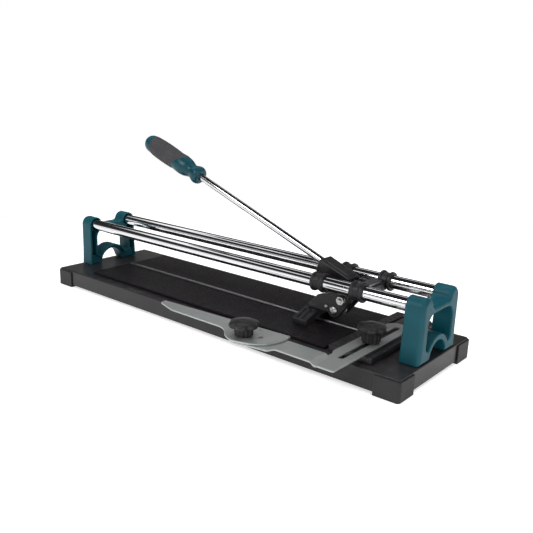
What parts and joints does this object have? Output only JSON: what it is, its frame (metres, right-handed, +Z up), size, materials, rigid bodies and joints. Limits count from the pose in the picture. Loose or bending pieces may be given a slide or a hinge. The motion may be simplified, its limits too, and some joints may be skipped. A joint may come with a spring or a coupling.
{
  "type": "manual tile cutter",
  "caption": "Manual rail tile cutter with a sliding lever carriage, scoring wheel, breaker foot, end brackets, fence and an adjustable rip guide with a swivelling blade.",
  "frame": {"origin": "middle of the footprint, at the height of the feet's undersides", "axes": "+X along the rails towards the fence, +Y away from the rip guide, +Z up"},
  "size_m": [0.592, 0.236, 0.2317],
  "materials": {
    "deck": "gloss black enamel",
    "foot": "fine moulded texture",
    "pad": "matt",
    "bracket": "satin teal",
    "rail": "polished",
    "steel": "zinc plated",
    "casting": "semi-gloss black",
    "moulding": "satin black",
    "plate": "rolled sheet",
    "grip": "gloss teal",
    "sleeve": "soft matt"
  },
  "bodies": {
    "base": {"deck_plate": "deck", "front_skirt": "deck", "back_skirt": "deck", "left_skirt": "deck", "right_skirt": "deck", "foot_front_left": "foot", "foot_back_left": "foot", "foot_front_right": "foot", "foot_back_right": "foot", "front_pad": "pad", "back_pad": "pad", "breaking_rib": "steel", "left_bracket": "bracket", "right_bracket": "bracket", "front_rail": "rail", "back_rail": "rail", "bracket_screw_1": "steel", "bracket_screw_2": "steel", "bracket_screw_3": "steel", "bracket_screw_4": "steel", "fence_screw_1": "steel", "fence_screw_2": "steel", "fence_block": "casting", "fence_ruler": "casting", "fence_stud": "steel"},
    "fence_knob_body": {"fence_knob": "moulding", "fence_knob_insert": "steel"},
    "guide": {"rip_guide": "plate", "swivel_stud": "steel"},
    "blade": {"angle_blade": "plate"},
    "angle_knob_body": {"angle_knob": "moulding", "angle_knob_insert": "steel"},
    "carriage": {"carriage_frame": "casting", "bushing_front_left": "moulding", "bushing_back_left": "moulding", "bushing_front_right": "moulding", "bushing_back_right": "moulding", "cross_strap": "steel", "pivot_bolt": "steel", "pivot_nut": "steel"},
    "lever": {"lever_block": "casting", "breaker_foot": "moulding", "foot_screw": "steel", "housing_screw": "steel", "axle_screw": "steel", "axle_nut": "steel", "handle_rod": "rail", "grip_core": "grip", "grip_sleeve": "sleeve"},
    "wheel": {"scoring_wheel": "steel"}
  },
  "joints": [
    {"name": "carriage_slide", "type": "slide", "parent": "base", "child": "carriage", "axis": [1, 0, 0], "range_m": [-0.388, 0.054]},
    {"name": "lever_hinge", "type": "hinge", "parent": "carriage", "child": "lever", "pos_m": [0.177, 0.032, 0.068], "axis": [0, 1, 0], "range_deg": [0, 36]},
    {"name": "wheel_spin", "type": "hinge", "parent": "lever", "child": "wheel", "pos_m": [0.163, 0.032, 0.0505], "axis": [0, 1, 0], "continuous": true},
    {"name": "guide_slide", "type": "slide", "parent": "base", "child": "guide", "axis": [0, 1, 0], "range_m": [-0.055, 0.055]},
    {"name": "blade_swivel", "type": "hinge", "parent": "guide", "child": "blade", "pos_m": [0.1235, -0.098, 0.0405], "axis": [0, 0, 1], "range_deg": [-45, 45]},
    {"name": "angle_knob_spin", "type": "hinge", "parent": "guide", "child": "angle_knob_body", "pos_m": [0.1235, -0.098, 0.045], "axis": [0, 0, 1], "continuous": true},
    {"name": "fence_knob_spin", "type": "hinge", "parent": "base", "child": "fence_knob_body", "pos_m": [0.23, -0.004, 0.045], "axis": [0, 0, 1], "continuous": true}
  ]
}
